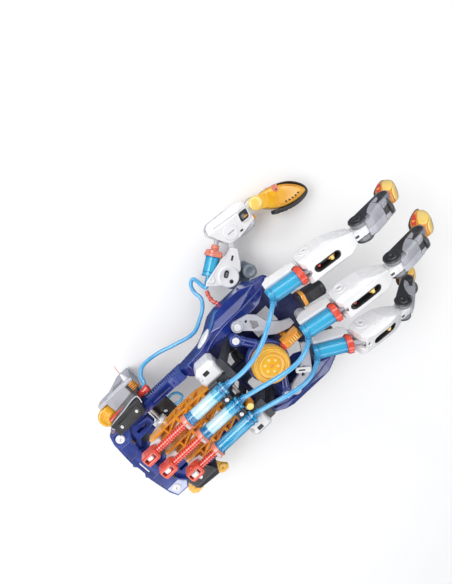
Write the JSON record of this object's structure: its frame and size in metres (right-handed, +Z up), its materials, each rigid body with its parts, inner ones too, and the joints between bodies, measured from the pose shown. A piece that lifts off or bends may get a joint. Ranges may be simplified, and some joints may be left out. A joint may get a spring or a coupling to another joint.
{
  "type": "hydraulic hand kit",
  "caption": "Wearable hydraulic hand: forearm frame with push-rod cylinders, hoses, jointed fingers and thumb, finger pull loops and a sliding thumb controller.",
  "frame": {"origin": "mouth of the central screw hole under the rear plate, on the centre plane and level with the underside of the rails", "axes": "+X forward along the forearm towards the fingertips, +Y towards the thumb side, +Z up out of the back of the hand"},
  "size_m": [0.4532, 0.2509, 0.1546],
  "materials": {
    "blue_shell": "glossy royal blue injection moulding",
    "navy_plate": "satin navy moulding",
    "charcoal": "matt charcoal moulding",
    "white_shell": "semi-gloss white moulding",
    "light_grey": "semi-gloss light grey moulding",
    "mid_grey": "satin grey moulding",
    "steel": "drawn bar",
    "yellow": "glossy golden yellow moulding",
    "amber": "glossy amber moulding",
    "red": "glossy orange-red moulding",
    "salmon": "glossy salmon moulding",
    "clear_cyan": "clear tinted plastic tube",
    "hose_blue": "soft vinyl hose",
    "tip_yellow": "clear-coated pale yellow moulding"
  },
  "bodies": {
    "frame": {"rear_plate": "blue_shell", "rails": "blue_shell", "wing_left": "blue_shell", "wing_right": "blue_shell", "palm_plate": "navy_plate", "cylinder_bridge": "charcoal", "palm_block": "charcoal", "corner_blocks": "white_shell", "cross_shafts": "steel", "screw_caps": "white_shell", "side_links": "light_grey", "knob_mount": "blue_shell", "amber_fittings": "amber", "master_barrels": "clear_cyan", "master_collars": "salmon", "slave_barrels": "clear_cyan", "slave_caps": "red", "finger_hoses": "hose_blue", "knuckles": "white_shell", "hand_pad": "charcoal", "thumb_base": "charcoal", "thumb_hose": "hose_blue"},
    "knob": {"palm_knob": "yellow"},
    "index_finger": {"index_shell": "white_shell"},
    "index_mid": {"index_link": "mid_grey"},
    "index_end": {"index_tip": "tip_yellow"},
    "index_slave_rod": {"index_slave_plunger": "light_grey"},
    "index_push_rod": {"index_master_plunger": "red"},
    "index_drawbar": {"index_truss": "amber"},
    "index_rocker": {"index_lever": "white_shell"},
    "index_pull": {"index_ring_lever": "charcoal"},
    "middle_finger": {"middle_shell": "white_shell"},
    "middle_mid": {"middle_link": "mid_grey"},
    "middle_end": {"middle_tip": "tip_yellow"},
    "middle_slave_rod": {"middle_slave_plunger": "light_grey"},
    "middle_push_rod": {"middle_master_plunger": "red"},
    "middle_drawbar": {"middle_truss": "amber"},
    "middle_rocker": {"middle_lever": "white_shell"},
    "middle_pull": {"middle_ring_lever": "charcoal"},
    "ring_finger": {"ring_shell": "white_shell"},
    "ring_mid": {"ring_link": "mid_grey"},
    "ring_end": {"ring_tip": "tip_yellow"},
    "ring_slave_rod": {"ring_slave_plunger": "light_grey"},
    "ring_push_rod": {"ring_master_plunger": "red"},
    "ring_drawbar": {"ring_truss": "amber"},
    "ring_rocker": {"ring_lever": "white_shell"},
    "ring_pull": {"ring_ring_lever": "charcoal"},
    "thumb_arm": {"thumb_link": "white_shell", "thumb_barrel": "clear_cyan", "thumb_cap": "red"},
    "thumb_slave_rod": {"thumb_slave_plunger": "light_grey"},
    "thumb_finger": {"thumb_shell": "white_shell"},
    "thumb_end": {"thumb_tip": "tip_yellow"},
    "controller": {"controller_clamp": "charcoal", "controller_body": "light_grey"},
    "thumb_paddle": {"controller_lever": "yellow"},
    "thumb_push_rod": {"controller_plunger": "red"},
    "adjuster": {"adjuster_wheel": "amber"},
    "side_clamp": {"clamp_right": "charcoal", "clamp_hook": "yellow"}
  },
  "joints": [
    {"name": "knob_turn", "type": "hinge", "parent": "frame", "child": "knob", "pos_m": [0.194, 0, 0.041], "axis": [0, 0, 1], "range_deg": [-90, 90]},
    {"name": "index_base_knuckle", "type": "hinge", "parent": "frame", "child": "index_finger", "pos_m": [0.302, 0.0545, 0.05], "axis": [0.0846, 0.9666, 0.2419], "range_deg": [0, 45]},
    {"name": "index_first_knuckle", "type": "hinge", "parent": "index_finger", "child": "index_mid", "pos_m": [0.36501, 0.04623, 0.061], "axis": [0.0846, 0.9666, 0.2419], "range_deg": [-16, 54]},
    {"name": "index_last_knuckle", "type": "hinge", "parent": "index_mid", "child": "index_end", "pos_m": [0.40598, 0.04494, 0.05183], "axis": [0.0846, 0.9666, 0.2419], "range_deg": [-35, 25]},
    {"name": "index_slave_slide", "type": "slide", "parent": "frame", "child": "index_slave_rod", "axis": [0.9885, -0.1119, 0.1014], "range_m": [0, 0.00994]},
    {"name": "index_push_slide", "type": "slide", "parent": "frame", "child": "index_push_rod", "axis": [1, 0, 0], "range_m": [0, 0.036]},
    {"name": "index_drawbar_slide", "type": "slide", "parent": "frame", "child": "index_drawbar", "axis": [1, 0, 0], "range_m": [0, 0.01933]},
    {"name": "index_rocker_turn", "type": "hinge", "parent": "frame", "child": "index_rocker", "pos_m": [0.0525, 0.024, 0.016], "axis": [0, 1, 0], "range_deg": [0, 36.87]},
    {"name": "index_pull_turn", "type": "hinge", "parent": "frame", "child": "index_pull", "pos_m": [0.14, 0.024, 0.012], "axis": [0, 1, 0], "range_deg": [0, 32.65]},
    {"name": "middle_base_knuckle", "type": "hinge", "parent": "frame", "child": "middle_finger", "pos_m": [0.304, 0, 0.059], "axis": [0.0498, 0.9498, 0.309], "range_deg": [-3, 42]},
    {"name": "middle_first_knuckle", "type": "hinge", "parent": "middle_finger", "child": "middle_mid", "pos_m": [0.367, -0.00715, 0.07084], "axis": [0.0498, 0.9498, 0.309], "range_deg": [-13, 57]},
    {"name": "middle_last_knuckle", "type": "hinge", "parent": "middle_mid", "child": "middle_end", "pos_m": [0.40853, -0.0073, 0.06459], "axis": [0.0498, 0.9498, 0.309], "range_deg": [-35, 25]},
    {"name": "middle_slave_slide", "type": "slide", "parent": "frame", "child": "middle_slave_rod", "axis": [0.9806, -0.1051, 0.1651], "range_m": [-0.00066, 0.00928]},
    {"name": "middle_push_slide", "type": "slide", "parent": "frame", "child": "middle_push_rod", "axis": [1, 0, 0], "range_m": [-0.0024, 0.0336]},
    {"name": "middle_drawbar_slide", "type": "slide", "parent": "frame", "child": "middle_drawbar", "axis": [1, 0, 0], "range_m": [-0.00129, 0.01805]},
    {"name": "middle_rocker_turn", "type": "hinge", "parent": "frame", "child": "middle_rocker", "pos_m": [0.0525, 0, 0.016], "axis": [0, 1, 0], "range_deg": [-2.46, 34.41]},
    {"name": "middle_pull_turn", "type": "hinge", "parent": "frame", "child": "middle_pull", "pos_m": [0.14, 0, 0.012], "axis": [0, 1, 0], "range_deg": [-2.18, 30.48]},
    {"name": "ring_base_knuckle", "type": "hinge", "parent": "frame", "child": "ring_finger", "pos_m": [0.294, -0.052, 0.047], "axis": [0.3541, 0.8343, 0.4226], "range_deg": [-24, 21]},
    {"name": "ring_first_knuckle", "type": "hinge", "parent": "ring_finger", "child": "ring_mid", "pos_m": [0.35432, -0.07252, 0.03698], "axis": [0.3541, 0.8343, 0.4226], "range_deg": [-31, 39]},
    {"name": "ring_last_knuckle", "type": "hinge", "parent": "ring_mid", "child": "ring_end", "pos_m": [0.38534, -0.07136, 0.00869], "axis": [0.3541, 0.8343, 0.4226], "range_deg": [-13, 47]},
    {"name": "ring_slave_slide", "type": "slide", "parent": "frame", "child": "ring_slave_rod", "axis": [0.8778, -0.4523, 0.1574], "range_m": [-0.0053, 0.00464]},
    {"name": "ring_push_slide", "type": "slide", "parent": "frame", "child": "ring_push_rod", "axis": [1, 0, 0], "range_m": [-0.0192, 0.0168]},
    {"name": "ring_drawbar_slide", "type": "slide", "parent": "frame", "child": "ring_drawbar", "axis": [1, 0, 0], "range_m": [-0.01031, 0.00902]},
    {"name": "ring_rocker_turn", "type": "hinge", "parent": "frame", "child": "ring_rocker", "pos_m": [0.0525, -0.024, 0.016], "axis": [0, 1, 0], "range_deg": [-19.66, 17.21]},
    {"name": "ring_pull_turn", "type": "hinge", "parent": "frame", "child": "ring_pull", "pos_m": [0.14, -0.024, 0.012], "axis": [0, 1, 0], "range_deg": [-17.42, 15.24]},
    {"name": "thumb_swivel", "type": "hinge", "parent": "frame", "child": "thumb_arm", "pos_m": [0.22615, 0.09007, -0.02692], "axis": [0.1045, 0, 0.9945], "range_deg": [-10, 10], "deforming": ["thumb_hose"]},
    {"name": "thumb_base_knuckle", "type": "hinge", "parent": "thumb_arm", "child": "thumb_finger", "pos_m": [0.265, 0.128, -0.031], "axis": [-0.1045, 0, -0.9945], "range_deg": [-36, 9]},
    {"name": "thumb_last_knuckle", "type": "hinge", "parent": "thumb_finger", "child": "thumb_end", "pos_m": [0.31325, 0.13179, -0.03607], "axis": [0.1045, 0, 0.9945], "range_deg": [-42, 18]},
    {"name": "thumb_slave_slide", "type": "slide", "parent": "thumb_arm", "child": "thumb_slave_rod", "axis": [0.8245, 0.5592, -0.0867], "range_m": [-0.00795, 0.00199]},
    {"name": "controller_slide", "type": "slide", "parent": "frame", "child": "controller", "axis": [1, 0, 0], "range_m": [0, 0.036], "deforming": ["thumb_hose"]},
    {"name": "paddle_turn", "type": "hinge", "parent": "controller", "child": "thumb_paddle", "pos_m": [0.006, 0.077, -0.014], "axis": [0, 1, 0], "range_deg": [-16, 4]},
    {"name": "thumb_push_slide", "type": "slide", "parent": "controller", "child": "thumb_push_rod", "axis": [1, 0, 0], "range_m": [-0.0064, 0.0016]},
    {"name": "adjuster_turn", "type": "hinge", "parent": "controller", "child": "adjuster", "pos_m": [0.052, 0.073, -0.0082], "axis": [0, 1, 0], "continuous": true},
    {"name": "side_clamp_slide", "type": "slide", "parent": "frame", "child": "side_clamp", "axis": [1, 0, 0], "range_m": [0, 0.036]}
  ],
  "couplings": [
    {"joint": "index_slave_slide", "follows": "index_base_knuckle", "m_per_rad": 0.012657},
    {"joint": "index_push_slide", "follows": "index_base_knuckle", "m_per_rad": 0.045837},
    {"joint": "index_drawbar_slide", "follows": "index_base_knuckle", "m_per_rad": 0.024616},
    {"joint": "index_rocker_turn", "follows": "index_base_knuckle", "ratio": 0.81933},
    {"joint": "index_pull_turn", "follows": "index_base_knuckle", "ratio": 0.72564},
    {"joint": "middle_slave_slide", "follows": "middle_base_knuckle", "m_per_rad": 0.012657},
    {"joint": "middle_push_slide", "follows": "middle_base_knuckle", "m_per_rad": 0.045837},
    {"joint": "middle_drawbar_slide", "follows": "middle_base_knuckle", "m_per_rad": 0.024616},
    {"joint": "middle_rocker_turn", "follows": "middle_base_knuckle", "ratio": 0.81933},
    {"joint": "middle_pull_turn", "follows": "middle_base_knuckle", "ratio": 0.72564},
    {"joint": "ring_slave_slide", "follows": "ring_base_knuckle", "m_per_rad": 0.012657},
    {"joint": "ring_push_slide", "follows": "ring_base_knuckle", "m_per_rad": 0.045837},
    {"joint": "ring_drawbar_slide", "follows": "ring_base_knuckle", "m_per_rad": 0.024616},
    {"joint": "ring_rocker_turn", "follows": "ring_base_knuckle", "ratio": 0.81933},
    {"joint": "ring_pull_turn", "follows": "ring_base_knuckle", "ratio": 0.72564},
    {"joint": "thumb_slave_slide", "follows": "thumb_base_knuckle", "m_per_rad": 0.012657},
    {"joint": "paddle_turn", "follows": "thumb_base_knuckle", "ratio": 0.44444},
    {"joint": "thumb_push_slide", "follows": "thumb_base_knuckle", "m_per_rad": 0.010186}
  ]
}
